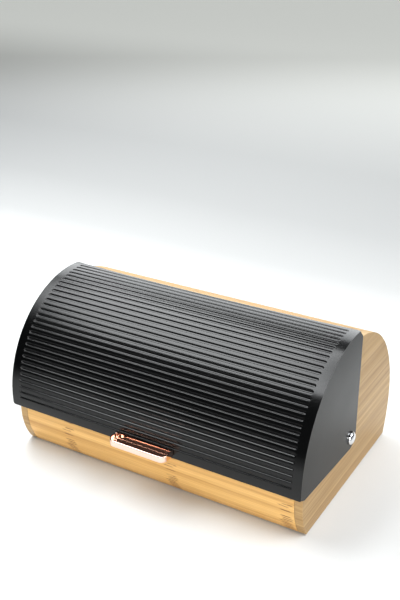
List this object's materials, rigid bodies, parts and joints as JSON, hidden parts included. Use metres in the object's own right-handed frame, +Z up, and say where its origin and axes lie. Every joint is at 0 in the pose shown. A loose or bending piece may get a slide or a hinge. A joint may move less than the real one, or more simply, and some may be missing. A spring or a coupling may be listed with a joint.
{
  "type": "roll-top bread box",
  "caption": "Bread box with a curved bamboo body and a ribbed black steel roll top that turns back over it on two side pivots, with a rose-gold pull.",
  "frame": {"origin": "on the ground plane under the feet, at the middle of the bounding box in X and Y", "axes": "+X to the box's right seen from the front, +Y to the rear, +Z up; the pull handle faces -Y"},
  "size_m": [0.4092, 0.3003, 0.2071],
  "materials": {
    "bamboo": "satin clear-coated bamboo",
    "dowel_wood": "bare wood",
    "black_coating_sheet": "satin black coating",
    "black_coating_cheek": "satin black coating",
    "rose_gold": "polished rose-gold plating",
    "chrome": "polished",
    "steel": "zinc plated",
    "rubber": "matt"
  },
  "bodies": {
    "body": {"base_board": "bamboo", "front_rail": "bamboo", "rear_shell": "bamboo", "top_rail": "bamboo", "left_side_panel": "bamboo", "left_pivot_screw": "chrome", "left_pivot_washer": "steel", "left_pivot_nut": "steel", "left_upper_front_dowel": "dowel_wood", "left_lower_front_dowel": "dowel_wood", "left_upper_shell_dowel": "dowel_wood", "left_lower_shell_dowel": "dowel_wood", "left_front_base_dowel": "dowel_wood", "left_rear_base_dowel": "dowel_wood", "left_front_bumper": "rubber", "left_open_bumper": "rubber", "left_front_foot": "rubber", "left_rear_foot": "rubber", "right_side_panel": "bamboo", "right_pivot_screw": "chrome", "right_pivot_washer": "steel", "right_pivot_nut": "steel", "right_upper_front_dowel": "dowel_wood", "right_lower_front_dowel": "dowel_wood", "right_upper_shell_dowel": "dowel_wood", "right_lower_shell_dowel": "dowel_wood", "right_front_base_dowel": "dowel_wood", "right_rear_base_dowel": "dowel_wood", "right_front_bumper": "rubber", "right_open_bumper": "rubber", "right_front_foot": "rubber", "right_rear_foot": "rubber"},
    "lid": {"lid_sheet": "black_coating_sheet", "left_cheek": "black_coating_cheek", "right_cheek": "black_coating_cheek", "lid_lip_bar": "black_coating_cheek", "handle": "rose_gold", "left_handle_screw": "steel", "right_handle_screw": "steel"}
  },
  "joints": [
    {"name": "lid_hinge", "type": "hinge", "parent": "body", "child": "lid", "pos_m": [0, 0.01225, 0.06549], "axis": [-1, 0, 0], "range_deg": [0, 86]}
  ]
}
